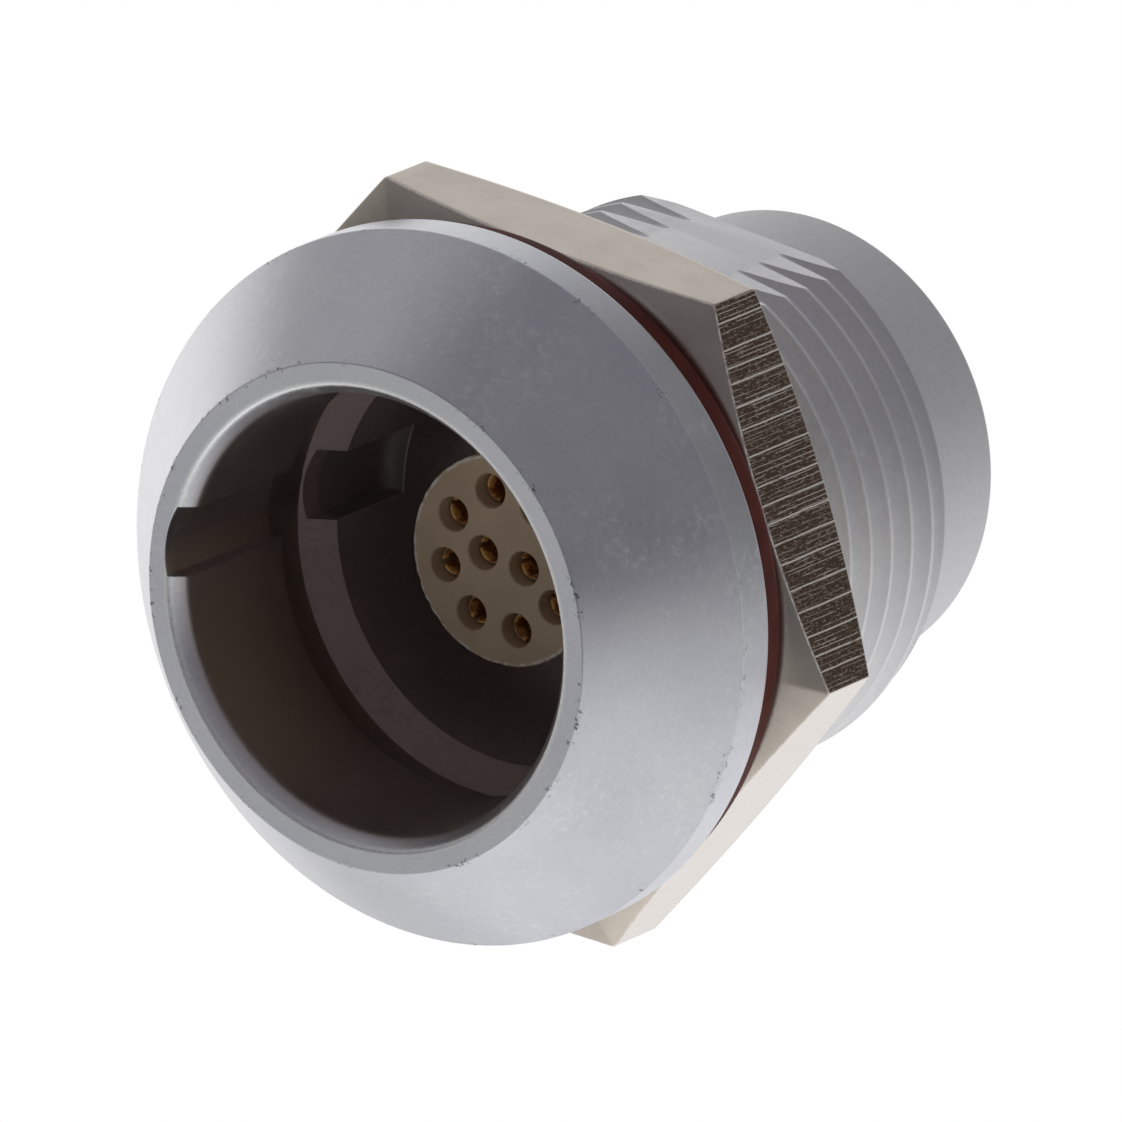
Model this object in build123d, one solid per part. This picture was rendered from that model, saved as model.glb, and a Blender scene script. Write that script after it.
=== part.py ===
from build123d import *
from math import atan2, cos, degrees, radians, sin, tan
import os

# Round panel socket with ten female contacts, held in a panel hole by a hex nut. Sizes in millimetres.
# The socket's axis is Y: the plug enters at -Y and the wires leave at +Y. The origin is on the axis,
# in the back face of the flange, where the seal lies. Z is up, with the keyway at twelve o'clock.

# Driving dimensions
thread_major = 16.0
thread_pitch = 1.0
thread_length = 12.0
rear_length = 4.25
flange_length = 4.7
contact_circle = 3.92
outer_contacts = 8
key_width = 2.05
seal_thickness = 1.08
nut_thickness = 3.2

# Diameters and spans that go with them
thread_flats = thread_major - 1.5
flange_diameter = thread_major + 4
across_flats = thread_major + 3
bore_diameter = thread_major - 3.7
rear_diameter = thread_major - 3
insert_diameter = contact_circle + 2.04
inner_contact_spacing = 0.349 * contact_circle

# Clearances
press_gap = 0.005
slip = 0.04
running_clearance = 0.03
bore_clearance = 0.1
nut_gap = 0.02

# Outer form of the shell, from the front ring over the cone and the rim to the rear end
front = -flange_length
rim_length = 1.21
rear_end = thread_length + rear_length
thread_radius = thread_major / 2
flange_radius = flange_diameter / 2
rear_radius = rear_diameter / 2
front_ring_radius = flange_radius - 2.88
edge_break = 0.2
thread_lead = 0.35 * thread_pitch

# Inner form of the shell, from the mouth over the latch groove, the latch cone and the cavity to the collar
bore_radius = bore_diameter / 2
mouth_radius = bore_radius + 0.35
mouth_depth = 0.48
groove_start = 0.2
groove_radius = bore_radius + 0.55
cone_start = 1.75
cone_length = 0.8
cavity_radius = bore_radius - 0.2
rear_bore_radius = bore_radius - 0.65
collar_radius = rear_bore_radius - 0.8
collar_rear = thread_length - 1.8
collar_front = collar_rear - 1
key_reach = bore_radius + 0.5
key_curve = 1.3 * key_width
key_end = cone_start + 4.0
lug_width = 1.2

# Seal ring between flange and panel
seal_outer_radius = flange_radius - 0.24
seal_inner_radius = thread_radius + slip
seal_bevel = 0.35

# Hex nut
nut_front = seal_thickness + nut_gap
nut_chamfer_radius = across_flats / 2 - 0.25
nut_chamfer_angle = 20
nut_bore_radius = thread_radius + running_clearance
nut_countersink = 0.35
corner_radius = across_flats / 2 / cos(radians(30))

# Contacts, pressed into the insert and recessed in it
contact_radius = 0.475
contact_hole_radius = contact_radius + press_gap
socket_bore_radius = 0.3
socket_recess = 0.45
socket_depth = 5.0
tine_gap = 0.14
tine_length = 3.5
cup_bore_radius = 0.35
cup_depth = 2.2
cup_opening = 1.7
cup_past_shell = 1.0

# Insert, holder, inner seal, spacer and clamp ring, stacked from the collar to the rear end
insert_radius = insert_diameter / 2
insert_face = cone_start + 0.15
insert_rear = collar_rear + 5
holder_radius = rear_bore_radius - bore_clearance
holder_rear = collar_rear + 2.6
inner_seal_depth = 0.9
inner_seal_width = 1.2
inner_seal_start = (collar_rear + holder_rear - inner_seal_width) / 2
clamp_end = rear_end - 0.55
clamp_start = clamp_end - 1.7
clamp_inner_radius = insert_radius + 1
spacer_wall = 1.0
spanner_slot_width = 1.2
spanner_slot_depth = 0.8

# Ends of the contacts
socket_tip = insert_face + socket_recess
cup_end = rear_end + cup_past_shell


def turned(*corners):
    """Solid of revolution about Y from corners given as (radius, y)."""
    return revolve(make_face(Polyline(*corners, close=True)), Axis.Y, 360)


def rod(radius, start, end, x=0, z=0):
    """Round bar along Y."""
    return Pos(x, (start + end) / 2, z) * Rot(90, 0, 0) * Cylinder(radius, end - start)


def bar(width, start, end, low, high, x=0):
    """Square bar along Y, from low to high in Z."""
    return Pos(x, (start + end) / 2, (low + high) / 2) * Box(width, end - start, high - low)


def contact_places():
    """Centres (x, z) of the contacts: the outer ring clockwise from the key, then the inner pair."""
    step = 360 / outer_contacts
    ring = [radians(step * (k + 0.5)) for k in range(outer_contacts)]
    outer = [(contact_circle / 2 * sin(a), contact_circle / 2 * cos(a)) for a in ring]
    return outer + [(0, inner_contact_spacing / 2), (0, -inner_contact_spacing / 2)]


def shell_body():
    """The turned outline: front cone, flange, thread's major cylinder, rear cylinder and stepped bore."""
    return turned(
        (mouth_radius, front),
        (front_ring_radius, front),
        (flange_radius, -rim_length),
        (flange_radius, 0),
        (thread_radius, 0),
        (thread_radius, thread_length - thread_lead),
        (thread_radius - thread_lead, thread_length),
        (rear_radius, thread_length),
        (rear_radius, rear_end - edge_break),
        (rear_radius - edge_break, rear_end),
        (rear_bore_radius, rear_end),
        (rear_bore_radius, collar_rear),
        (collar_radius, collar_rear),
        (collar_radius, collar_front),
        (cavity_radius, collar_front),
        (cavity_radius, cone_start + cone_length),
        (groove_radius, cone_start),
        (groove_radius, groove_start),
        (bore_radius, groove_start),
        (bore_radius, front + mouth_depth),
    )


def thread_flat_cuts():
    """What is milled away along the thread to leave two parallel flats, square to the key."""
    depth = thread_radius - thread_flats / 2 + edge_break
    middle = thread_flats / 2 + depth / 2
    return [bar(depth, 0, thread_length, -thread_radius, thread_radius, x=s * middle) for s in (-1, 1)]


def key_cuts():
    """The plug's keyway with straight sides and a rounded floor, and the insert's notch in the collar."""
    sides = bar(key_width, front, key_end, collar_radius, thread_radius)
    keyway = sides & rod(key_curve, front, key_end, z=key_reach - key_curve)
    notch = bar(lug_width, collar_front, collar_rear, 0, rear_bore_radius - bore_clearance)
    return [keyway, notch]


def make_shell():
    return shell_body() - thread_flat_cuts() - key_cuts()


def make_seal_ring():
    """Flat rubber ring with a bevelled rim that fills the flange's back between thread and rim."""
    return turned(
        (seal_inner_radius, 0),
        (seal_outer_radius - seal_bevel, 0),
        (seal_outer_radius, seal_bevel),
        (seal_outer_radius, seal_thickness - seal_bevel),
        (seal_outer_radius - seal_bevel, seal_thickness),
        (seal_inner_radius, seal_thickness),
    )


def make_hex_nut():
    """Hexagon with a corner at the top, both faces chamfered, its bore countersunk at both ends."""
    rear = nut_front + nut_thickness
    drop = (corner_radius - nut_chamfer_radius) * tan(radians(nut_chamfer_angle))
    limits = turned(
        (nut_bore_radius + nut_countersink, nut_front),
        (nut_chamfer_radius, nut_front),
        (corner_radius, nut_front + drop),
        (corner_radius, rear - drop),
        (nut_chamfer_radius, rear),
        (nut_bore_radius + nut_countersink, rear),
        (nut_bore_radius, rear - nut_countersink),
        (nut_bore_radius, nut_front + nut_countersink),
    )
    hexagon = Plane.XZ * RegularPolygon(corner_radius, 6, rotation=90)
    return extrude(hexagon, amount=-rear) & limits


def make_insert():
    """Free-standing round insert with a hole for each contact. The plug's tube slides over its nose."""
    holes = [rod(contact_hole_radius, insert_face, insert_rear, x, z) for x, z in contact_places()]
    return rod(insert_radius, insert_face, insert_rear) - holes


def make_insert_holder():
    """Ring that carries the insert in the shell, with a seal groove and a lug in the collar's notch."""
    inner = insert_radius + press_gap
    groove_floor = rear_bore_radius - inner_seal_depth
    groove_end = inner_seal_start + inner_seal_width
    ring = turned(
        (inner, collar_rear),
        (holder_radius, collar_rear),
        (holder_radius, inner_seal_start),
        (groove_floor, inner_seal_start),
        (groove_floor, groove_end),
        (holder_radius, groove_end),
        (holder_radius, holder_rear),
        (inner, holder_rear),
    )
    lug_top = holder_radius - bore_clearance
    lug = bar(lug_width - 2 * slip, collar_front, collar_rear + slip, collar_radius, lug_top)
    return ring + lug


def make_inner_seal():
    """Rubber ring in the holder's groove, pressed against the shell's bore."""
    start = inner_seal_start + slip
    end = inner_seal_start + inner_seal_width - slip
    floor = rear_bore_radius - inner_seal_depth
    return rod(rear_bore_radius, start, end) - rod(floor, start, end)


def make_spacer():
    """Plain sleeve between the holder and the clamp ring."""
    inner = holder_radius - spacer_wall
    return rod(holder_radius, holder_rear, clamp_start) - rod(inner, holder_rear, clamp_start)


def make_clamp_ring():
    """Round nut in the shell's rear bore, with two spanner slots across its rear face."""
    radius = rear_bore_radius - press_gap
    ring = rod(radius, clamp_start, clamp_end) - rod(clamp_inner_radius, clamp_start, clamp_end)
    slot_floor = clamp_end - spanner_slot_depth
    return ring - bar(spanner_slot_width, slot_floor, clamp_end, -radius, radius)


def make_contact(x, z):
    """Female contact: split socket at the front and, at the rear, a solder cup open away from the axis."""
    pin = turned(
        (0, socket_tip + socket_depth),
        (socket_bore_radius, socket_tip + socket_depth),
        (socket_bore_radius, socket_tip),
        (contact_radius, socket_tip),
        (contact_radius, cup_end),
        (cup_bore_radius, cup_end),
        (cup_bore_radius, cup_end - cup_depth),
        (0, cup_end - cup_depth),
    )
    split = bar(tine_gap, socket_tip, socket_tip + tine_length, -contact_radius, contact_radius)
    opening = bar(2 * contact_radius, cup_end - cup_opening, cup_end, 0, contact_radius)
    return Pos(x, 0, z) * Rot(0, degrees(atan2(x, z)), 0) * (pin - split - opening)


def make_all():
    pieces = {
        "shell": make_shell(),
        "seal_ring": make_seal_ring(),
        "hex_nut": make_hex_nut(),
        "insert": make_insert(),
        "insert_holder": make_insert_holder(),
        "inner_seal": make_inner_seal(),
        "spacer": make_spacer(),
        "clamp_ring": make_clamp_ring(),
    }
    for number, (x, z) in enumerate(contact_places(), start=1):
        pieces[f"contact_{number:02d}"] = make_contact(x, z)
    return pieces


os.makedirs("parts", exist_ok=True)
for name, piece in make_all().items():
    export_step(piece, f"parts/{name}.step")
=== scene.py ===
import math

import bmesh
import bpy
from mathutils import Matrix, Vector, noise


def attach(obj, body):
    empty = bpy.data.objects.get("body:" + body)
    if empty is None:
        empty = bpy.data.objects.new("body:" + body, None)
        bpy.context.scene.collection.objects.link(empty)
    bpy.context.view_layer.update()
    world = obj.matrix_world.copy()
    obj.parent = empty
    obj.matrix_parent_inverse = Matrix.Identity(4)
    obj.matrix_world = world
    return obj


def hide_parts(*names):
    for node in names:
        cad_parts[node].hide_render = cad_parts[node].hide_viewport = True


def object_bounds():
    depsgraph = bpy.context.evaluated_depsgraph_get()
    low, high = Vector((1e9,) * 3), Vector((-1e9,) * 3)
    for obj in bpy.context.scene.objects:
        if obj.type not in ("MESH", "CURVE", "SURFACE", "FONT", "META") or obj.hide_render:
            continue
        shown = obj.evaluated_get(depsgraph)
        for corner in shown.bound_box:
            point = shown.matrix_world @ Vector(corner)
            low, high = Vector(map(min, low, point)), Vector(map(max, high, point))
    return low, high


# The socket lies along Y with its mouth at -Y and its keyway at +Z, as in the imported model.
# Lengths are in millimetres until a mesh is finished; MM turns them into metres.
# Angles round the axis start at the keyway and go clockwise as seen from the mouth.
MM = 0.001

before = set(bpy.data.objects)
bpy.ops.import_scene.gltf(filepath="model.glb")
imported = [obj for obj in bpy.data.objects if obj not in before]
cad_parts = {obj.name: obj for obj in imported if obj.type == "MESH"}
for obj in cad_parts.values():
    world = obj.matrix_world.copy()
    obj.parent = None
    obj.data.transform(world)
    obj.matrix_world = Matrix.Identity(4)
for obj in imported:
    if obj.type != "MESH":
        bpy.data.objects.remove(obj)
cad_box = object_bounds()

# Driving dimensions
THREAD_R, THREAD_END, PITCH = 8.0, 12.0, 1.0
RING_Y, REAR_END = -4.70, 16.25
KEY_WIDTH = 2.05
SEAL_THICK, NUT_THICK = 1.08, 3.2
CIRCLE_R = 1.96

# Outer form of the shell: front ring, rim, thread with its flats, plain rear cylinder
RIM_R, RIM_Y = THREAD_R + 2, -1.21
RING_R = RIM_R - 2.88
THREAD_LEAD, FLAT_X = 0.35, THREAD_R - 0.75
REAR_R = THREAD_R - 1.5

# Inner form of the shell: mouth, plug bore, latch groove, latch cone, cavity, collar, rear bore, keyway
BORE_R, BORE_Y = THREAD_R - 1.85, RING_Y + 0.48
MOUTH_R = BORE_R + 0.35
GROOVE_R, GROOVE_Y = BORE_R + 0.55, 0.20
CONE_Y, CONE_END = 1.75, 2.55
CAVITY_R, REAR_BORE_R = BORE_R - 0.2, BORE_R - 0.65
COLLAR_R, COLLAR_FRONT, COLLAR_REAR = REAR_BORE_R - 0.8, THREAD_END - 2.8, THREAD_END - 1.8
KEY_TOP, KEY_CURVE, KEY_END, RUN_OUT = BORE_R + 0.5, 1.3 * KEY_WIDTH, CONE_Y + 4, 0.45
LUG_WIDTH = 1.2

# Thread: right hand, 60 degrees. Its groove starts outside the metal and sinks in.
ROOT_R = THREAD_R - 0.6134 * PITCH
GROOVE_START, GROOVE_TURNS, GROOVE_PHASE = 0.62, 12.3, 0.01
SINK_TURNS, SINK_HEIGHT = 0.6, 0.7

# Seal ring
SEAL_OUTER, SEAL_INNER = RIM_R - 0.24, THREAD_R + 0.04

# Nut
NUT_FRONT = SEAL_THICK + 0.02
NUT_REAR = NUT_FRONT + NUT_THICK
NUT_BORE, COUNTERSINK = THREAD_R + 0.03, 0.35
FLAT_R = THREAD_R + 1.5
CHAMFER_R, CHAMFER_SLOPE = FLAT_R - 0.25, math.tan(math.radians(20))
MILLING = (0.6, 0.04, 1.0, 0.05, 0.45, 0.9)  # depth of the tool marks on each side, clockwise from the key
PAINTED_SIDE_LIGHT = (0.0, 0.0, 0.0, 1.0, 0.0, 0.3)  # how much lighter each side is painted, as painted light, in the same order

# Insert and contacts
INSERT_R, INSERT_FACE, INSERT_REAR = CIRCLE_R + 1.02, CONE_Y + 0.15, COLLAR_REAR + 5
CONTACT_R, SOCKET_R, CUP_R = 0.475, 0.3, 0.35
HOLE_R = CONTACT_R + 0.005
TIP_Y, SOCKET_DEPTH = INSERT_FACE + 0.45, 5.0
CUP_END, CUP_DEPTH, CUP_OPENING = REAR_END + 1, 2.2, 1.7
TINE_GAP, TINE_LENGTH = 0.14, 3.5
INNER_Z = 0.684

# Rear pieces
HOLDER_R, HOLDER_REAR = REAR_BORE_R - 0.1, COLLAR_REAR + 2.6
SEAL_GROOVE_START, SEAL_GROOVE_END, SEAL_GROOVE_R = COLLAR_REAR + 0.7, COLLAR_REAR + 1.9, REAR_BORE_R - 0.9
CLAMP_START, CLAMP_END, CLAMP_INNER = REAR_END - 2.25, REAR_END - 0.55, INSERT_R + 1
SPACER_WALL = 1.0
SLOT_WIDTH, SLOT_DEPTH = 1.2, 0.8

# Edges between faces that meet at more than this angle, in degrees, stay sharp
SHARP_ANGLE = 32

# Photograph's view: a camera that looks along +Y, turned left and tilted up, then rolled, in degrees
VIEW_TURN, VIEW_TILT, VIEW_ROLL = 25.44, 28.91, -68.26
LOOKS_AT, DISTANCE = Vector((-0.93, 5.21, 0.20)), 682.4
LENS, SENSOR = 801.9, 36.0
VIEW = (Matrix.Rotation(math.radians(VIEW_TURN), 3, "Z")
        @ Matrix.Rotation(math.radians(90 + VIEW_TILT), 3, "X")
        @ Matrix.Rotation(math.radians(VIEW_ROLL), 3, "Z"))
RIGHT, DOWN, FORWARD = VIEW.col[0], -VIEW.col[1], -VIEW.col[2]


# Meshes

def rounded(corners, steps=4):
    """Closed outline through corners (radius, y, fillet), with each fillet drawn as an arc.

    A point just beyond each end of an arc keeps the shading of the flat beside it even.
    """
    points = []
    for i, (r, y, fillet) in enumerate(corners):
        here = Vector((r, y))
        if not fillet:
            points.append((r, y))
            continue
        back = (Vector(corners[i - 1][:2]) - here).normalized()
        ahead = (Vector(corners[(i + 1) % len(corners)][:2]) - here).normalized()
        half = back.angle(ahead) / 2
        reach = fillet / math.tan(half)
        centre = here + (back + ahead).normalized() * fillet / math.sin(half)
        start, end = here + back * reach - centre, here + ahead * reach - centre
        support = 0.4 * fillet
        points.append(tuple(here + back * (reach + support)))
        for k in range(steps + 1):
            ray = (start * (1 - k / steps) + end * (k / steps)).normalized() * fillet
            points.append(tuple(centre + ray))
        points.append(tuple(here + ahead * (reach + support)))
    return points


def mesh_from(verts, faces):
    """Closed mesh with shared points merged and its faces turned outwards."""
    mesh = bpy.data.meshes.new("work")
    mesh.from_pydata(verts, [], faces)
    work = bmesh.new()
    work.from_mesh(mesh)
    bmesh.ops.remove_doubles(work, verts=work.verts, dist=1e-5)
    bmesh.ops.recalc_face_normals(work, faces=work.faces)
    work.to_mesh(mesh)
    work.free()
    return mesh


def lathe(outline, columns, closed=True, moved=None):
    """Solid of revolution about Y of an outline of (radius, y) points."""
    verts, faces = [], []
    for c in range(columns):
        angle = math.tau * c / columns
        for r, y in outline:
            point = Vector((r * math.sin(angle), y, r * math.cos(angle)))
            verts.append(moved(point, angle, r) if moved else point)
    rows = len(outline)
    for c in range(columns):
        a, b = c * rows, (c + 1) % columns * rows
        for j in range(rows if closed else rows - 1):
            k = (j + 1) % rows
            faces.append((a + j, b + j, b + k, a + k))
    return mesh_from(verts, faces)


def prism(section, start, end):
    """Solid with a section of (x, z) points, from y = start to y = end."""
    n = len(section)
    verts = [(x, y, z) for y in (start, end) for x, z in section]
    faces = [tuple(range(n)), tuple(range(2 * n - 1, n - 1, -1))]
    faces += [(i, (i + 1) % n, n + (i + 1) % n, n + i) for i in range(n)]
    return mesh_from(verts, faces)


def block(x0, x1, y0, y1, z0, z1):
    """Box from its lowest to its highest corner."""
    return prism([(x0, z0), (x1, z0), (x1, z1), (x0, z1)], y0, y1)


def cut(mesh, cutters, operation="DIFFERENCE"):
    """The mesh with each cutter taken away from it, or added to it."""
    for cutter in cutters:
        base, tool = bpy.data.objects.new("base", mesh), bpy.data.objects.new("tool", cutter)
        for o in (base, tool):
            bpy.context.scene.collection.objects.link(o)
        step = base.modifiers.new("step", "BOOLEAN")
        step.operation, step.solver, step.object = operation, "EXACT", tool
        shaped = base.evaluated_get(bpy.context.evaluated_depsgraph_get())
        mesh = bpy.data.meshes.new_from_object(shaped)
        for o in (base, tool):
            bpy.data.objects.remove(o)
    return mesh


def finished(mesh, name, material):
    """The mesh in metres, with its material and smooth but for its sharp edges."""
    mesh.transform(Matrix.Scale(MM, 4))
    mesh.name = name
    mesh.materials.clear()
    mesh.materials.append(material)
    mesh.shade_smooth()
    mesh.set_sharp_from_angle(angle=math.radians(SHARP_ANGLE))
    return mesh


def piece(name, mesh, body, slot, *nodes, place=None):
    """Object with a finished mesh, riding on its body and standing for its CAD nodes."""
    obj = bpy.data.objects.new(name, mesh)
    bpy.context.scene.collection.objects.link(obj)
    if place is not None:
        obj.matrix_world = place
    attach(obj, body)
    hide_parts(*nodes)


# Shader helpers

class Tree:
    """Short-hand for adding nodes to a material or world and wiring them."""

    def __init__(self, tree):
        self.tree = tree
        tree.nodes.clear()

    def add(self, kind, inputs=None, **settings):
        node = self.tree.nodes.new("ShaderNode" + kind)
        for key, value in settings.items():
            setattr(node, key, value)
        for key, value in (inputs or {}).items():
            if isinstance(value, bpy.types.NodeSocket):
                self.tree.links.new(value, node.inputs[key])
            else:
                node.inputs[key].default_value = value
        return node

    def math(self, operation, a, b=0.0):
        return self.add("Math", {0: a, 1: b}, operation=operation).outputs[0]

    def times(self, first, *others):
        """Product of two or more values."""
        for other in others:
            first = self.math("MULTIPLY", first, other)
        return first

    def plus(self, base, *parts):
        """The base plus each (value, share) of parts, the value multiplied by its share."""
        for value, share in parts:
            base = self.math("ADD", base, self.times(value, share))
        return base

    def stretched(self, x, y, x_scale, y_scale):
        """Point for noise that is scaled differently in x and y."""
        return self.add("CombineXYZ", {0: self.times(x, x_scale), 1: self.times(y, y_scale)}).outputs[0]

    def dot(self, vector, direction):
        node = self.add("VectorMath", {0: vector, 1: tuple(direction)}, operation="DOT_PRODUCT")
        return node.outputs["Value"]

    def step(self, value, low, high, bottom=0.0, top=1.0):
        """Smooth rise from bottom at low to top at high; low may be above high."""
        inputs = {"Value": value, "From Min": low, "From Max": high, "To Min": bottom, "To Max": top}
        if low > high:
            inputs.update({"From Min": high, "From Max": low, "To Min": top, "To Max": bottom})
        return self.add("MapRange", inputs, interpolation_type="SMOOTHSTEP").outputs["Result"]

    def noise(self, vector, scale, detail=2.0, roughness=0.5):
        inputs = {"Vector": vector, "Scale": scale, "Detail": detail, "Roughness": roughness}
        return self.add("TexNoise", inputs).outputs["Fac"]

    def line_noise(self, value, scale, detail=2.0, roughness=0.5):
        inputs = {"W": value, "Scale": scale, "Detail": detail, "Roughness": roughness}
        return self.add("TexNoise", inputs, noise_dimensions="1D").outputs["Fac"]

    def cell_edges(self, value, per_mm, half_width):
        """1 on thin lines at irregular distances along value, both given in mm."""
        cells = self.add("TexVoronoi", {"W": value, "Scale": per_mm}, voronoi_dimensions="1D",
                         feature="DISTANCE_TO_EDGE").outputs["Distance"]
        return self.step(cells, half_width * per_mm, 0.4 * half_width * per_mm)

    def mix(self, factor, a, b):
        node = self.add("Mix", data_type="RGBA")
        for socket, value in ((node.inputs["Factor"], factor), (node.inputs[6], a), (node.inputs[7], b)):
            if isinstance(value, bpy.types.NodeSocket):
                self.tree.links.new(value, socket)
            else:
                socket.default_value = value
        return node.outputs[2]

    def bump(self, height, strength, distance, normal=None):
        inputs = {"Height": height, "Strength": strength, "Distance": distance * MM}
        if normal is not None:
            inputs["Normal"] = normal
        return self.add("Bump", inputs).outputs["Normal"]


def new_material(name):
    """Empty material with its tree and its coordinates: place in mm, radius, x, y and z."""
    material = bpy.data.materials.new(name)
    material.use_nodes = True
    tree = Tree(material.node_tree)
    own = tree.add("TexCoord").outputs["Object"]
    place = tree.add("VectorMath", {0: own, "Scale": 1 / MM}, operation="SCALE").outputs[0]
    parts = tree.add("SeparateXYZ", {0: place})
    x, y, z = (parts.outputs[i] for i in range(3))
    radius = tree.math("SQRT", tree.math("ADD", tree.times(x, x), tree.times(z, z)))
    return material, tree, {"place": place, "r": radius, "x": x, "y": y, "z": z}


def surface(tree, color, roughness, normal=None, metallic=0.0, **sockets):
    """Principled surface wired to the output."""
    inputs = {"Base Color": color, "Roughness": roughness, "Metallic": metallic, **sockets}
    if normal is not None:
        inputs["Normal"] = normal
    shader = tree.add("BsdfPrincipled", inputs)
    tree.add("OutputMaterial", {"Surface": shader.outputs[0]})


def rgb(r, g, b):
    return (r, g, b, 1.0)


def near_circle(tree, at, radius, y, width):
    """1 close to a circle round the axis, falling to 0 at width from it."""
    dr, dy = tree.math("SUBTRACT", at["r"], radius), tree.math("SUBTRACT", at["y"], y)
    square = tree.math("ADD", tree.times(dr, dr), tree.times(dy, dy))
    return tree.step(square, width * width, 0.0)


# Materials

def shell_zones(t, at):
    """Masks for parts of the shell's surface, each 1 on its part and 0 elsewhere."""
    r, y = at["r"], at["y"]
    in_front_bores = t.times(t.step(r, GROOVE_R + 0.1, GROOVE_R), t.step(y, BORE_Y - 0.34, BORE_Y + 0.02),
                             t.step(y, THREAD_END - 0.05, THREAD_END - 0.1))
    in_rear_bore = t.times(t.step(r, CAVITY_R + 0.05, CAVITY_R - 0.05),
                           t.step(y, THREAD_END - 0.1, THREAD_END - 0.05))
    inside = t.math("MAXIMUM", in_front_bores, in_rear_bore)
    deep = t.times(t.step(y, CONE_END, CONE_END + 0.05), inside)
    return {
        "inside": inside,
        "behind_flange": t.times(t.step(y, 0.1, 0.2), t.math("SUBTRACT", 1.0, inside)),
        "latch_groove": t.times(t.step(y, GROOVE_Y, GROOVE_Y + 0.02), t.step(y, CONE_Y, CONE_Y - 0.02),
                                inside, t.step(r, BORE_R, BORE_R + 0.03)),
        "latch_cone": t.times(t.step(y, CONE_Y - 0.01, CONE_Y + 0.01),
                              t.step(y, CONE_END + 0.01, CONE_END - 0.01),
                              inside, t.step(r, CAVITY_R - 0.02, CAVITY_R + 0.01)),
        "deep": deep,
        "key_end": t.times(deep, t.step(r, CAVITY_R + 0.02, CAVITY_R + 0.06)),
        "plain_rear": t.times(t.step(y, THREAD_END - 0.02, THREAD_END + 0.02),
                              t.step(r, REAR_R - 0.3, REAR_R - 0.2)),
    }


def shell_plating():
    """Satin chrome: fine grain, faint turning marks, dark specks along the edges, a painted highlight round
    the mouth, dull inside with painted light in the deep cavity and painted shade at the keyway's end.
    """
    material, t, at = new_material("shell_plating")
    place, r, y = at["place"], at["r"], at["y"]
    zone = shell_zones(t, at)

    cloud = t.noise(place, 0.35, 3.0)
    grain = t.noise(place, 14.0, 3.0, 0.6)
    color = t.mix(t.step(cloud, 0.3, 0.7), rgb(0.71, 0.715, 0.77), rgb(0.77, 0.775, 0.82))
    color = t.mix(t.times(t.step(grain, 0.62, 0.8), 0.4), color, rgb(0.56, 0.56, 0.59))
    color = t.mix(t.times(zone["behind_flange"], 0.7), color, rgb(0.90, 0.895, 0.895))

    # Short streaks round the axis from the turning tool
    profile = t.plus(r, (y, 0.7))
    round_scale, profile_scale = 24.0, 8.0
    turned = t.add("CombineXYZ", {0: t.times(t.math("DIVIDE", at["x"], r), round_scale),
                                  1: t.times(t.math("DIVIDE", at["z"], r), round_scale),
                                  2: t.times(profile, profile_scale)}).outputs[0]
    streaks = t.noise(turned, 1.6, 4.0, 0.7)
    color = t.mix(t.step(streaks, 0.50, 0.36, 0.0, 0.14), color, rgb(0.60, 0.60, 0.64))
    color = t.mix(t.step(streaks, 0.54, 0.70, 0.0, 0.4), color, rgb(0.94, 0.94, 0.95))

    # Pale scuffs, crowded in some places
    crowd = t.step(t.noise(place, 0.30, 2.0), 0.46, 0.56, 0.1, 1.0)
    scuffs = t.times(t.step(t.noise(place, 3.6, 8.0, 0.85), 0.50, 0.62), crowd)
    color = t.mix(t.times(scuffs, 0.5), color, rgb(0.97, 0.97, 0.98))

    # Specks where the ring meets the cone and the cone meets the rim, and a few anywhere
    edges = t.math("MAXIMUM", near_circle(t, at, RING_R, RING_Y, 0.16), near_circle(t, at, RIM_R, RIM_Y, 0.2))
    patchy = t.step(t.noise(place, 0.55, 2.0), 0.45, 0.6)
    spots = t.step(t.noise(place, 5.5, 3.0, 0.7), 0.56, 0.66)
    stray = t.step(t.noise(place, 2.6, 4.0, 0.65), 0.735, 0.79)
    specks = t.math("MAXIMUM", t.times(edges, patchy, spots), t.times(stray, 0.6))
    color = t.mix(t.times(specks, 0.85), color, rgb(0.10, 0.09, 0.10))

    # Inside it is dull; the latch cone is coarser and catches more light than the groove before it
    color = t.mix(zone["inside"], color, rgb(0.60, 0.545, 0.53))
    # Painted light: the deep cavity is painted lighter than the bores before it
    color = t.mix(zone["deep"], color, rgb(0.74, 0.68, 0.68))
    # Painted shade: the keyway's end is painted dark
    color = t.mix(zone["key_end"], color, rgb(0.40, 0.36, 0.35))
    color = t.mix(zone["latch_cone"], color, rgb(0.53, 0.45, 0.42))
    color = t.mix(zone["latch_groove"], color, rgb(0.50, 0.45, 0.42))

    # The mouth's sharp edge is painted bright all round, with grain: a painted highlight
    mouth_highlight = near_circle(t, at, MOUTH_R - 0.01, RING_Y + 0.05, 0.17)
    mouth_highlight = t.times(mouth_highlight, t.step(grain, 0.62, 0.40, 0.45, 1.0))
    color = t.mix(mouth_highlight, color, rgb(0.97, 0.98, 0.97))

    roughness = t.plus(0.27, (cloud, 0.08), (specks, 0.3), (zone["inside"], 0.08), (zone["latch_cone"], 0.3),
                       (mouth_highlight, 0.10), (zone["deep"], 0.12), (zone["key_end"], 0.20),
                       (zone["behind_flange"], 0.12), (zone["plain_rear"], 0.20), (scuffs, 0.12))

    soft = t.add("Bevel", {"Radius": 0.045 * MM}, samples=4).outputs[0]
    normal = t.bump(t.line_noise(profile, 9.0, 3.0, 0.6), 0.12, 0.0012, soft)
    normal = t.bump(grain, 0.45, 0.003, normal)
    normal = t.bump(scuffs, 0.12, 0.003, normal)
    surface(t, color, roughness, normal, metallic=1.0)
    return material


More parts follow.
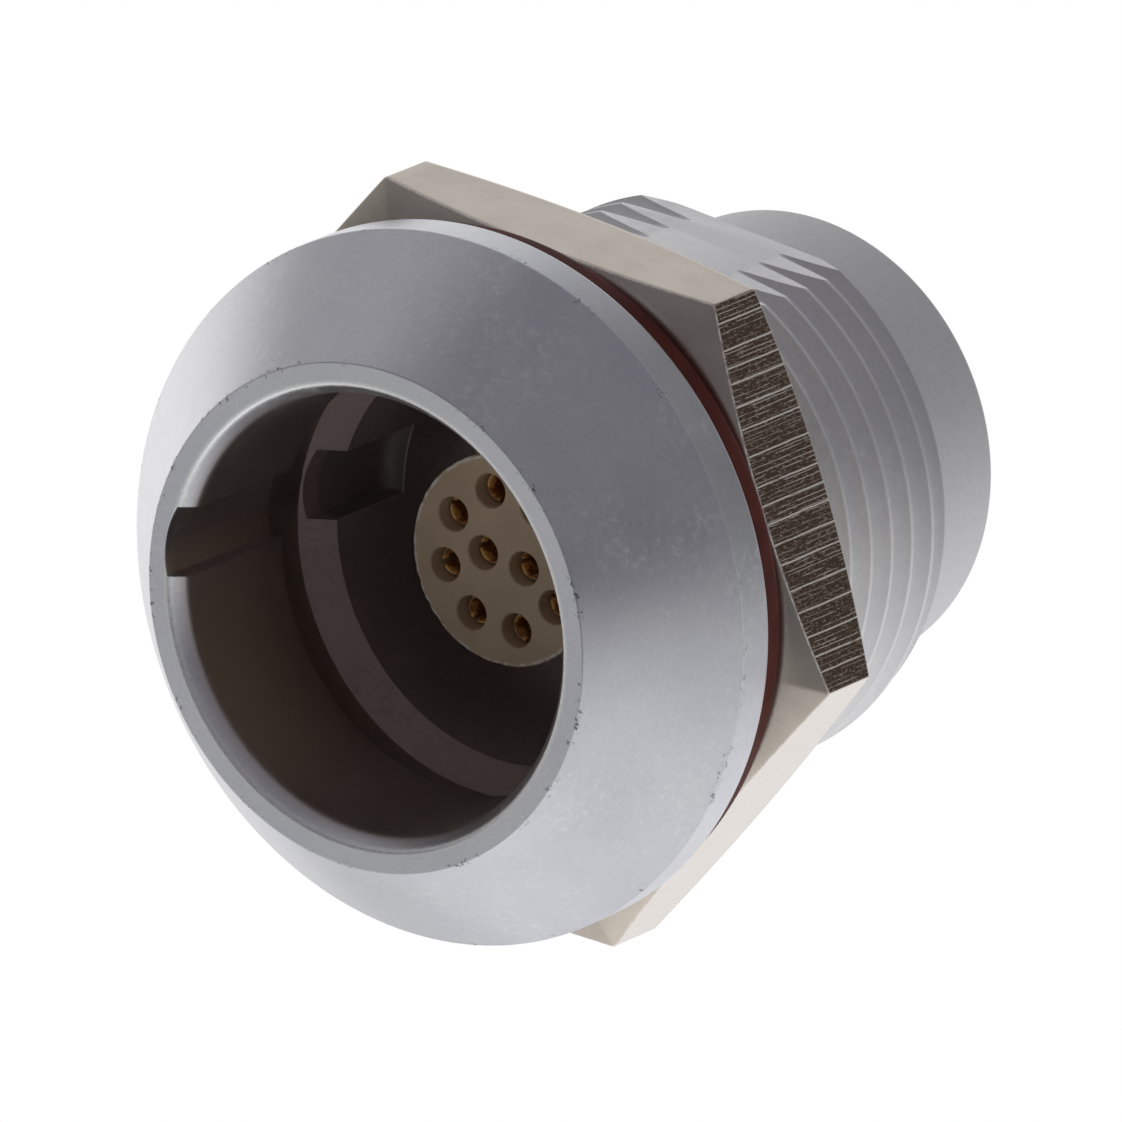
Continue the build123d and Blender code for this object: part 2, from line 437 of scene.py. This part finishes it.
def nut_plating():
    """Nickel: sides with milling lines across them, faces with a fine grain, some sides painted lighter as
    painted light, and patches of painted highlight on its edges.
    """
    material, t, at = new_material("nut_plating")
    place = at["place"]
    uv = t.add("SeparateXYZ", {0: t.add("TexCoord").outputs["UV"]})
    along, across = uv.outputs[0], uv.outputs[1]
    milled = t.add("Attribute", attribute_name="milled").outputs["Fac"]
    edge = t.add("Attribute", attribute_name="edge").outputs["Fac"]

    # Thin lines across the side at irregular distances; the fine ones are broken and come in groups
    waver = t.plus(along, (t.noise(place, 0.8), 0.05))
    broken = t.noise(t.stretched(along, across, 12.0, 1.1), 1.0, 3.0, 0.6)
    strong = t.times(t.cell_edges(waver, 1.6, 0.030), t.step(broken, 0.30, 0.42))
    fine = t.times(t.cell_edges(waver, 7.5, 0.015), t.step(broken, 0.44, 0.54))
    groups = t.step(t.line_noise(waver, 1.1, 1.0), 0.42, 0.56, 0.3, 1.0)
    grit = t.step(t.noise(t.stretched(along, across, 22.0, 7.0), 1.0, 3.0, 0.75), 0.56, 0.66)
    lines = t.math("MAXIMUM", strong, t.times(fine, groups, 0.75))
    lines = t.times(t.math("MAXIMUM", lines, t.times(grit, 0.30)), milled)

    # The nut's rounded edges are painted bright in patches, a painted highlight merged into the milling
    # lines' mask
    edge_highlight_patches = t.step(t.noise(place, 5.0, 3.0, 0.7), 0.40, 0.60, 0.2, 1.0)
    lines = t.math("MAXIMUM", lines, t.times(t.step(edge, 0.1, 0.6), edge_highlight_patches))

    # The nickel is thin and dull where the milling is deep; on the sides marked so it is painted lighter, as
    # painted light
    cloud = t.noise(place, 0.7, 3.0)
    color = t.mix(t.step(cloud, 0.3, 0.7), rgb(0.62, 0.555, 0.49), rgb(0.69, 0.625, 0.555))
    speckle = t.step(t.noise(place, 16.0, 2.0, 0.7), 0.5, 0.8)
    color = t.mix(t.times(speckle, 0.35), color, rgb(0.42, 0.37, 0.31))
    color = t.mix(t.times(milled, 0.92), color, rgb(0.165, 0.10, 0.065))
    painted_light = t.add("Attribute", attribute_name="painted_light").outputs["Fac"]
    painted_light = t.times(painted_light, t.step(broken, 0.3, 0.7, 1.0, 0.8))
    color = t.mix(painted_light, color, rgb(0.96, 0.90, 0.85))
    # Bright milling lines, with the painted highlight on the edges merged in
    color = t.mix(lines, color, rgb(1.0, 0.97, 0.92))
    roughness = t.plus(0.25, (milled, -0.08), (lines, 0.35))
    soft = t.add("Bevel", {"Radius": 0.02 * MM}, samples=4).outputs[0]
    normal = t.bump(t.line_noise(waver, 9.0, 3.0, 0.7), t.times(milled, 0.4), 0.004, soft)
    normal = t.bump(lines, t.times(milled, 0.9), 0.03, normal)
    normal = t.bump(t.noise(place, 18.0, 3.0, 0.6), 0.4, 0.0025, normal)
    surface(t, color, roughness, normal, metallic=1.0)
    return material


def rubber(name, dark, light):
    """Matte rubber with a faint cloudiness and a fine skin."""
    material, t, at = new_material(name)
    cloud = t.noise(at["place"], 1.2, 3.0)
    skin = t.noise(at["place"], 18.0, 3.0, 0.6)
    color = t.mix(t.step(cloud, 0.3, 0.7), dark, light)
    roughness = t.plus(0.5, (cloud, 0.12))
    surface(t, color, roughness, t.bump(skin, 0.5, 0.006), **{"Specular IOR Level": 0.2})
    return material


def moulded(name, dark, light, spot, chipped_edge_highlight=None):
    """Matte plastic with a soft mottle and a few specks, with a painted highlight in pale ragged patches
    along its chipped front edge.
    """
    material, t, at = new_material(name)
    cloud = t.noise(at["place"], 0.9, 4.0)
    color = t.mix(t.step(cloud, 0.3, 0.7), dark, light)
    specks = t.step(t.noise(at["place"], 4.5, 3.0, 0.6), 0.70, 0.78)
    color = t.mix(t.times(specks, 0.45), color, spot)
    if chipped_edge_highlight:
        radius, y, pale = chipped_edge_highlight
        # Painted highlight: pale ragged patches along the chipped front edge
        rim = near_circle(t, at, radius, y, 0.14)
        ragged = t.step(t.noise(at["place"], 3.2, 4.0, 0.7), 0.42, 0.56)
        color = t.mix(t.times(rim, ragged), color, pale)
    roughness = t.plus(0.45, (cloud, 0.12))
    surface(t, color, roughness, t.bump(t.noise(at["place"], 9.0, 3.0), 0.4, 0.006))
    return material


def plated(name, dark, light, gloss, marks, bore=None):
    """Plated metal with faint turning marks. A bore, if it has one, has stained patches among patches painted
    bright as a painted glow, and painted highlight rings on its lips.
    """
    material, t, at = new_material(name)
    place, r, y = at["place"], at["r"], at["y"]
    cloud = t.noise(place, 1.5, 3.0)
    turned = t.line_noise(t.math("ADD", r, y), marks, 3.0, 0.6)
    color = t.mix(t.step(cloud, 0.3, 0.7), dark, light)
    roughness = t.plus(gloss, (turned, 0.1))
    metallic = 1.0
    if bore:
        radius, start, end, stained, painted_light = bore
        inside = t.times(t.step(r, radius + 0.01, radius), t.step(y, end + 0.1, end))
        # The bore's patches mix stains with a painted glow
        patches = t.step(t.noise(place, 2.8, 2.0, 0.6), 0.47, 0.56)
        color = t.mix(inside, color, t.mix(patches, stained, painted_light))
        # Painted highlight: bright rings round the nose
        lip = t.times(t.step(r, radius, radius + 0.01), t.step(y, start + 0.3, start + 0.25))
        painted_highlight_rings = t.math("ABSOLUTE", t.math("SINE", t.times(t.math("SUBTRACT", y, start), 22.0)))
        color = t.mix(t.times(lip, t.step(painted_highlight_rings, 0.35, 0.1)), color, rgb(1.0, 0.88, 0.62))
        roughness = t.plus(roughness, (inside, 0.2))
        metallic = t.plus(1.0, (inside, -0.45))
    normal = t.bump(turned, 0.3, 0.003)
    surface(t, color, roughness, normal, metallic=metallic)
    return material


# Pieces

def key_section(top, count=9):
    """Points (x, z) of the keyway's section: straight sides and a rounded floor that rises to z = top."""
    side = KEY_WIDTH / 2
    last = math.asin(side / KEY_CURVE)
    angles = [last * (1 - 2 * k / (count - 1)) for k in range(count)]
    floor = [(KEY_CURVE * math.sin(a), top - KEY_CURVE + KEY_CURVE * math.cos(a)) for a in angles]
    return floor + [(-side, 3.0), (side, 3.0)]


def keyway_mesh(steps=6):
    """Cutter for the keyway: its floor runs out in a quarter circle before the flat end."""
    rows = [(RING_Y - 1, KEY_TOP), (KEY_END - RUN_OUT, KEY_TOP)]
    for k in range(1, steps + 1):
        a = math.radians(90 * k / steps)
        rows.append((KEY_END - RUN_OUT * (1 - math.sin(a)), KEY_TOP - RUN_OUT * (1 - math.cos(a))))
    sections = [[(x, y, z) for x, z in key_section(top)] for y, top in rows]
    n, last = len(sections[0]), len(rows) - 1
    faces = [tuple(range(n)), tuple(last * n + k for k in range(n - 1, -1, -1))]
    faces += [(j * n + i, j * n + (i + 1) % n, (j + 1) * n + (i + 1) % n, (j + 1) * n + i)
              for j in range(last) for i in range(n)]
    return mesh_from([v for section in sections for v in section], faces)


def thread_groove(columns=192):
    """Coil with the section of the thread's groove: two equal flanks and a rounded root."""
    half, slope, above = 0.4375 * PITCH, math.tan(math.radians(30)), 0.05
    root = half - slope * (THREAD_R - ROOT_R)
    flank = [(half + slope * above, THREAD_R + above), (root + 0.03, ROOT_R + 0.052),
             (root * 0.6, ROOT_R + 0.008)]
    section = [(-offset, r) for offset, r in flank] + flank[::-1]
    count = round(GROOVE_TURNS * columns)
    verts = []
    for i in range(count + 1):
        turn = i / columns
        angle = math.tau * (turn + GROOVE_START - GROOVE_PHASE)
        lift = max(0.0, 1 - turn / SINK_TURNS) * SINK_HEIGHT
        for offset, r in section:
            y = GROOVE_START + PITCH * turn + offset
            verts.append(((r + lift) * math.sin(angle), y, (r + lift) * math.cos(angle)))
    n = len(section)
    faces = [tuple(range(n)), tuple(count * n + k for k in range(n - 1, -1, -1))]
    for i in range(count):
        for k in range(n):
            a, b = i * n + k, i * n + (k + 1) % n
            faces.append((a, b, b + n, a + n))
    return mesh_from(verts, faces)


def shell_mesh():
    """Turned body less the flats, the keyway, the collar's notch and the thread's groove."""
    outline = rounded([
        (MOUTH_R, RING_Y, 0.16), (RING_R, RING_Y, 0.05), (RIM_R, RIM_Y, 0.06), (RIM_R, 0, 0.08),
        (THREAD_R, 0, 0), (THREAD_R, THREAD_END - THREAD_LEAD, 0),
        (THREAD_R - THREAD_LEAD, THREAD_END, 0), (REAR_R, THREAD_END, 0.05),
        (REAR_R, REAR_END, 0.18), (REAR_BORE_R, REAR_END, 0.12), (REAR_BORE_R, COLLAR_REAR, 0.03),
        (COLLAR_R, COLLAR_REAR, 0.04), (COLLAR_R, COLLAR_FRONT, 0.04), (CAVITY_R, COLLAR_FRONT, 0.03),
        (CAVITY_R, CONE_END, 0), (GROOVE_R, CONE_Y, 0), (GROOVE_R, GROOVE_Y, 0), (BORE_R, GROOVE_Y, 0.02),
        (BORE_R, BORE_Y, 0.40),
    ])
    body = lathe(outline, 192)
    half = LUG_WIDTH / 2
    notch = block(-half, half, COLLAR_FRONT - 0.3, COLLAR_REAR + 0.3, 3.0, REAR_BORE_R - 0.1)
    past = THREAD_R + 1
    right_flat = block(FLAT_X, past, 0, THREAD_END + 1, -past, past)
    left_flat = block(-past, -FLAT_X, 0, THREAD_END + 1, -past, past)
    return cut(body, [keyway_mesh(), notch, right_flat, left_flat, thread_groove()])


def seal_mesh():
    """Rubber ring with a rounded rim."""
    return lathe(rounded([
        (SEAL_INNER, 0, 0.05), (SEAL_OUTER, 0, 0.35), (SEAL_OUTER, SEAL_THICK, 0.35),
        (SEAL_INNER, SEAL_THICK, 0.05),
    ], steps=6), 160)


def hexagon_outline(corner=0.14, per_side=28):
    """Points (x, z) of a hexagon with a corner at +Z, each corner rounded, and the length up to each."""
    inset = (FLAT_R - corner) / math.cos(math.radians(30))
    points = []
    for k in range(6):
        middle = math.radians(60 * k)
        centre = (inset * math.sin(middle), inset * math.cos(middle))
        for degrees in range(-30, 31, 10):
            angle = middle + math.radians(degrees)
            points.append((centre[0] + corner * math.sin(angle), centre[1] + corner * math.cos(angle)))
        turn = math.radians(60 * (k + 1))
        start = Vector(points[-1])
        ahead = Vector((inset * math.sin(turn) + corner * math.sin(turn - math.radians(30)),
                        inset * math.cos(turn) + corner * math.cos(turn - math.radians(30))))
        points += [tuple(start.lerp(ahead, j / per_side)) for j in range(1, per_side)]
    lengths = [0.0]
    for i in range(1, len(points) + 1):
        lengths.append(lengths[-1] + (Vector(points[i % len(points)]) - Vector(points[i - 1])).length)
    return points, lengths


def nut_mesh():
    """Hexagon with cone chamfers on both faces, small rounds on its edges, and a UV along its sides."""
    outline, lengths = hexagon_outline()
    small = 0.05
    points_per_side, middle_of_corner = len(outline) / 6, 3
    verts, sizes = [], []
    for index, (x, z) in enumerate(outline):
        reach = math.hypot(x, z)
        side_number = int((index - middle_of_corner) // points_per_side) % 6
        depth, painted_light = MILLING[side_number], PAINTED_SIDE_LIGHT[side_number]
        drop = (reach - CHAMFER_R) * CHAMFER_SLOPE
        half_face = [  # (radius, depth behind the face, on the milled side, on its edge)
            (NUT_BORE, COUNTERSINK, 0, 0), (NUT_BORE + COUNTERSINK, 0, 0, 0), (CHAMFER_R - 0.06, 0, 0, 0),
            (CHAMFER_R, 0.003, 0, 0), (CHAMFER_R + 0.06, 0.06 * CHAMFER_SLOPE, 0, 0),
            (reach - small, drop - small * CHAMFER_SLOPE, 0, 0),
            (reach - 0.3 * small, drop + 0.2 * small, 0, 1),
            (reach, drop + small, depth, 0), (reach, drop + 3 * small, depth, 0),
            (reach, (NUT_REAR - NUT_FRONT) / 2, depth, 0)]
        rows = [(r, NUT_FRONT + d, m, e) for r, d, m, e in half_face]
        rows += [(r, NUT_REAR - d, m, e) for r, d, m, e in half_face[-2::-1]]
        for r, y, side, edge in rows:
            verts.append((x / reach * r, y, z / reach * r))
            sizes.append((y, side, edge, painted_light if side else 0.0))
    n, rows = len(outline), len(verts) // len(outline)
    faces, corners = [], []
    for c in range(n):
        for j in range(rows):
            k = (j + 1) % rows
            a, b = c * rows, (c + 1) % n * rows
            faces.append((a + j, a + k, b + k, b + j))
            corners.append(((c, j), (c, k), (c + 1, k), (c + 1, j)))
    mesh = bpy.data.meshes.new("nut")
    mesh.from_pydata(verts, [], faces)
    uv = mesh.uv_layers.new(name="sides")
    flat = [(lengths[c], sizes[j][0]) for face in corners for c, j in face]
    uv.data.foreach_set("uv", [v for pair in flat for v in pair])
    for column, name in ((1, "milled"), (2, "edge"), (3, "painted_light")):
        mark = mesh.attributes.new(name, "FLOAT", "POINT")
        mark.data.foreach_set("value", [float(size[column]) for size in sizes])
    work = bmesh.new()
    work.from_mesh(mesh)
    if work.calc_volume(signed=True) < 0:
        bmesh.ops.reverse_faces(work, faces=work.faces)
    work.to_mesh(mesh)
    work.free()
    return mesh


def contact_places():
    """Centres (x, z) of the contacts: the outer ring clockwise from the key, then the inner pair."""
    ring = [math.radians(45 * (k + 0.5)) for k in range(8)]
    return [(CIRCLE_R * math.sin(a), CIRCLE_R * math.cos(a)) for a in ring] + [(0, INNER_Z), (0, -INNER_Z)]


def chipped(point, angle, r):
    """Small nicks in the insert's front edge, more of them on one side."""
    edge = r > INSERT_R - 0.12 and point.y < INSERT_FACE + 0.12
    if not edge:
        return point
    here = Vector((3.2 * math.sin(angle), 3.2 * math.cos(angle), 0)) * 3.0
    nick = max(0.0, noise.noise(here) - 0.16) * 0.10
    nick += max(0.0, noise.noise(here * 3.1) - 0.25) * 0.04
    side = 0.35 + 0.65 * max(0.0, math.cos(angle - math.radians(20)))
    inward = Vector((math.sin(angle), 0, math.cos(angle))) * -nick * side
    return point + inward + Vector((0, nick * side * 0.8, 0))


def insert_mesh():
    """Round insert with a nicked front edge and ten holes."""
    outline = [(0, INSERT_FACE), (INSERT_R - 0.25, INSERT_FACE), (INSERT_R - 0.11, INSERT_FACE),
               (INSERT_R - 0.03, INSERT_FACE + 0.01), (INSERT_R, INSERT_FACE + 0.05),
               (INSERT_R, INSERT_FACE + 0.11), (INSERT_R, INSERT_FACE + 0.25), (INSERT_R, INSERT_REAR - 0.1),
               (INSERT_R - 0.1, INSERT_REAR), (0, INSERT_REAR)]
    body = lathe(outline, 224, closed=False, moved=chipped)
    holes = []
    for x, z in contact_places():
        hole = lathe([(0, INSERT_FACE - 1), (HOLE_R + 0.03, INSERT_FACE - 1), (HOLE_R + 0.03, INSERT_FACE),
                      (HOLE_R, INSERT_FACE + 0.04), (HOLE_R, INSERT_REAR + 1), (0, INSERT_REAR + 1)],
                     48, closed=False)
        hole.transform(Matrix.Translation((x, 0, z)))
        holes.append(hole)
    return cut(body, holes)


def contact_mesh():
    """Split female contact with a tapered nose and, at its rear, a solder cup open at one side."""
    outline = [
        (0, TIP_Y + SOCKET_DEPTH), (SOCKET_R, TIP_Y + SOCKET_DEPTH), (SOCKET_R, TIP_Y + 0.16),
        (SOCKET_R + 0.025, TIP_Y + 0.07), (SOCKET_R + 0.06, TIP_Y + 0.01), (SOCKET_R + 0.075, TIP_Y),
        (0.40, TIP_Y), (0.415, TIP_Y + 0.012), (0.43, TIP_Y + 0.05), (CONTACT_R - 0.01, TIP_Y + 0.22),
        (CONTACT_R, TIP_Y + 0.3), (CONTACT_R, CUP_END - 0.05), (CONTACT_R - 0.03, CUP_END),
        (CUP_R + 0.02, CUP_END), (CUP_R, CUP_END - 0.03), (CUP_R, CUP_END - CUP_DEPTH),
        (0, CUP_END - CUP_DEPTH - 0.15)]
    body = lathe(outline, 64, closed=False)
    split = block(-TINE_GAP / 2, TINE_GAP / 2, TIP_Y - 1, TIP_Y + TINE_LENGTH, -1, 1)
    opening = block(-1, 1, CUP_END - CUP_OPENING, CUP_END + 1, 0.02, 1)
    return cut(body, [split, opening])


def holder_mesh():
    """Ring round the insert with a seal groove and a lug at the front."""
    inner = INSERT_R + 0.005
    start, end, floor = SEAL_GROOVE_START, SEAL_GROOVE_END, SEAL_GROOVE_R
    ring = lathe(rounded([
        (inner, COLLAR_REAR, 0.03), (HOLDER_R, COLLAR_REAR, 0.06),
        (HOLDER_R, start, 0.04), (floor, start, 0.03), (floor, end, 0.03), (HOLDER_R, end, 0.04),
        (HOLDER_R, HOLDER_REAR, 0.08), (inner, HOLDER_REAR, 0.06),
    ]), 128)
    half = LUG_WIDTH / 2 - 0.04
    lug = block(-half, half, COLLAR_FRONT, COLLAR_REAR + 0.2, COLLAR_R, REAR_BORE_R - 0.2)
    return cut(ring, [lug], "UNION")


def clamp_mesh():
    """Round nut with two spanner slots."""
    ring = lathe(rounded([
        (CLAMP_INNER, CLAMP_START, 0.05), (REAR_BORE_R - 0.005, CLAMP_START, 0.05),
        (REAR_BORE_R - 0.005, CLAMP_END, 0.15), (CLAMP_INNER, CLAMP_END, 0.12),
    ]), 128)
    half = SLOT_WIDTH / 2
    return cut(ring, [block(-half, half, CLAMP_END - SLOT_DEPTH, CLAMP_END + 1, -7, 7)])


def spacer_mesh():
    """Plain sleeve with broken edges."""
    inner = HOLDER_R - SPACER_WALL
    return lathe(rounded([
        (inner, HOLDER_REAR, 0.08), (HOLDER_R, HOLDER_REAR, 0.08), (HOLDER_R, CLAMP_START, 0.08),
        (inner, CLAMP_START, 0.08),
    ]), 128)


# World, floor and camera

# Soft lights of the studio: direction as (right, down, forward) of the photograph, the angle in degrees at
# which each has faded out, its strength and its tint
NEUTRAL, COOL, WARM = (1.0, 1.0, 1.0), (1.0, 0.97, 1.05), (1.0, 0.93, 0.85)
SOFT_LIGHTS = [
    ((1, 2, 0), 80, 0.7, NEUTRAL),  # bright table below
    ((0, 0, 1), 70, 0.6, NEUTRAL),  # wide glow round the backdrop
    ((-1, 1, 0), 60, 0.5, NEUTRAL),  # box at the lower left
    ((-1, -1, 1), 70, 0.3, NEUTRAL),  # box at the upper left
    ((0, -1, -1), 100, 0.2, COOL),  # wide light from above
    ((2, -1, 1), 90, 0.15, NEUTRAL),  # faint wall at the right
    ((-1, 0, 1), 40, 0.3, WARM),  # warm window at the left
]
BACKDROP_EDGE = 0.90  # cosine of the angle at which the backdrop that metal mirrors has faded out

# Floor: a disc that fades out between two distances from its middle
FLOOR_R, FLOOR_Y, FLOOR_FADE = 160, 6, (50, 150)
PAPER_WHITE = 0.55  # how far the floor is lifted towards the backdrop's white; the shadow stays on it


def in_row_frame(view_direction):
    """Direction given as (right, down, forward) of the photograph, turned into the row frame."""
    right, down, forward = view_direction
    return (RIGHT * right + DOWN * down + FORWARD * forward).normalized()


def make_world():
    """White for the camera, and behind the object for what metal mirrors; soft lights for everything else."""
    world = bpy.data.worlds.new("studio")
    bpy.context.scene.world = world
    world.use_nodes = True
    t = Tree(world.node_tree)
    direction = t.add("TexCoord").outputs["Generated"]
    light = (0, 0, 0)
    for axis, fade_angle, strength, tint in SOFT_LIGHTS:
        share = t.step(t.dot(direction, in_row_frame(axis)), math.cos(math.radians(fade_angle)), 1.0)
        color = tuple(strength * part for part in tint)
        glow = t.add("VectorMath", {0: color, "Scale": share}, operation="SCALE").outputs[0]
        light = t.add("VectorMath", {0: light, 1: glow}, operation="ADD").outputs[0]
    rays = t.add("LightPath").outputs
    mirrored = t.math("MAXIMUM", rays["Is Glossy Ray"], rays["Is Transmission Ray"])
    mirrored = t.times(mirrored, t.step(t.dot(direction, FORWARD), BACKDROP_EDGE, 1.0))
    seen = t.math("MAXIMUM", rays["Is Camera Ray"], mirrored)
    color = t.mix(seen, light, rgb(1, 1, 1))
    background = t.add("Background", {"Color": color, "Strength": 1.0})
    t.add("OutputWorld", {"Surface": background.outputs[0]})


def make_floor():
    """Pale floor under the lowest point, seen from above only. It takes the object's shadow."""
    bpy.ops.mesh.primitive_circle_add(vertices=96, radius=FLOOR_R * MM, fill_type="NGON",
                                      location=(0, FLOOR_Y * MM, cad_box[0].z))
    floor = bpy.context.object
    floor.name = "floor"
    material = bpy.data.materials.new("floor_paper")
    material.use_nodes = True
    t = Tree(material.node_tree)
    place = t.add("TexCoord").outputs["Object"]
    away = t.add("VectorMath", {0: place}, operation="LENGTH").outputs["Value"]
    near, far = FLOOR_FADE
    under = t.add("NewGeometry").outputs["Backfacing"]
    clear = t.math("MAXIMUM", t.step(away, near * MM, far * MM), under)
    mottle = t.noise(place, 400.0, 3.0)
    paper = t.add("BsdfDiffuse", {"Color": t.mix(mottle, rgb(0.88, 0.88, 0.88), rgb(0.92, 0.92, 0.92))})
    white = t.add("Emission", {"Color": rgb(1, 1, 1), "Strength": 1.0})
    share = t.times(t.add("LightPath").outputs["Is Camera Ray"], PAPER_WHITE)
    pale = t.add("MixShader", {0: share, 1: paper.outputs[0], 2: white.outputs[0]})
    gone = t.add("BsdfTransparent")
    both = t.add("MixShader", {0: clear, 1: pale.outputs[0], 2: gone.outputs[0]})
    t.add("OutputMaterial", {"Surface": both.outputs[0]})
    floor.data.materials.append(material)
    floor.visible_diffuse = floor.visible_glossy = floor.visible_transmission = False
    floor.visible_shadow = False


def make_camera():
    """Long lens at the photograph's viewing angle."""
    data = bpy.data.cameras.new("camera")
    data.lens, data.sensor_width = LENS, SENSOR
    data.clip_start, data.clip_end = 0.05, 10.0
    camera = bpy.data.objects.new("camera", data)
    bpy.context.scene.collection.objects.link(camera)
    camera.matrix_world = Matrix.Translation((LOOKS_AT - FORWARD * DISTANCE) * MM) @ VIEW.to_4x4()
    bpy.context.scene.camera = camera


make_camera()
make_world()
make_floor()
bpy.context.scene.view_settings.view_transform = "Standard"

chrome, nickel = shell_plating(), nut_plating()
red_rubber = rubber("seal_rubber", rgb(0.105, 0.020, 0.015), rgb(0.145, 0.032, 0.024))
black_rubber = rubber("inner_seal_rubber", rgb(0.02, 0.02, 0.02), rgb(0.035, 0.035, 0.035))
# Ivory insert; its last argument gives the painted highlight along the chipped front edge
ivory = moulded("insert_plastic", rgb(0.57, 0.435, 0.295), rgb(0.64, 0.495, 0.34), rgb(0.34, 0.25, 0.16),
                (INSERT_R, INSERT_FACE, rgb(0.95, 0.88, 0.80)))
black = moulded("holder_plastic", rgb(0.02, 0.02, 0.02), rgb(0.035, 0.035, 0.035), rgb(0.08, 0.08, 0.08))
# Gold contacts; the bore's bright patches are a painted glow
gold = plated("contact_gold", rgb(0.84, 0.50, 0.18), rgb(0.93, 0.60, 0.25), 0.14, 12.0,
              (0.375, TIP_Y, TIP_Y + SOCKET_DEPTH, rgb(0.42, 0.19, 0.08), rgb(1.0, 0.64, 0.22)))
spacer_metal = plated("spacer_metal", rgb(0.56, 0.53, 0.48), rgb(0.64, 0.61, 0.56), 0.28, 6.0)
clamp_metal = plated("clamp_metal", rgb(0.56, 0.53, 0.48), rgb(0.64, 0.61, 0.56), 0.24, 6.0)

for name, mesh, material, body, slot, node in (
    ("shell_turned", shell_mesh(), chrome, "receptacle", "shell_plating", "shell"),
    ("seal_moulded", seal_mesh(), red_rubber, "receptacle", "seal_rubber", "seal_ring"),
    ("nut_milled", nut_mesh(), nickel, "nut", "nut_plating", "hex_nut"),
    ("insert_moulded", insert_mesh(), ivory, "receptacle", "insert_plastic", "insert"),
    ("holder_moulded", holder_mesh(), black, "receptacle", "holder_plastic", "insert_holder"),
    ("spacer_sleeve", spacer_mesh(), spacer_metal, "receptacle", "spacer_metal", "spacer"),
    ("clamp_ring_slotted", clamp_mesh(), clamp_metal, "receptacle", "clamp_metal", "clamp_ring"),
):
    piece(name, finished(mesh, name, material), body, slot, node)

# The ten contacts share one mesh, each with its solder cup open away from the axis
contact = finished(contact_mesh(), "contact_01_gold", gold)
for number, (x, z) in enumerate(contact_places(), start=1):
    turn = Matrix.Rotation(math.atan2(x, z), 4, "Y")
    piece(f"contact_{number:02d}_gold", contact, "receptacle", "contact_gold", f"contact_{number:02d}",
          place=Matrix.Translation((x * MM, 0, z * MM)) @ turn)

# The inner seal can't be seen, so its CAD mesh is kept
hidden_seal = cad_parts["inner_seal"]
hidden_seal.data.materials.clear()
hidden_seal.data.materials.append(black_rubber)
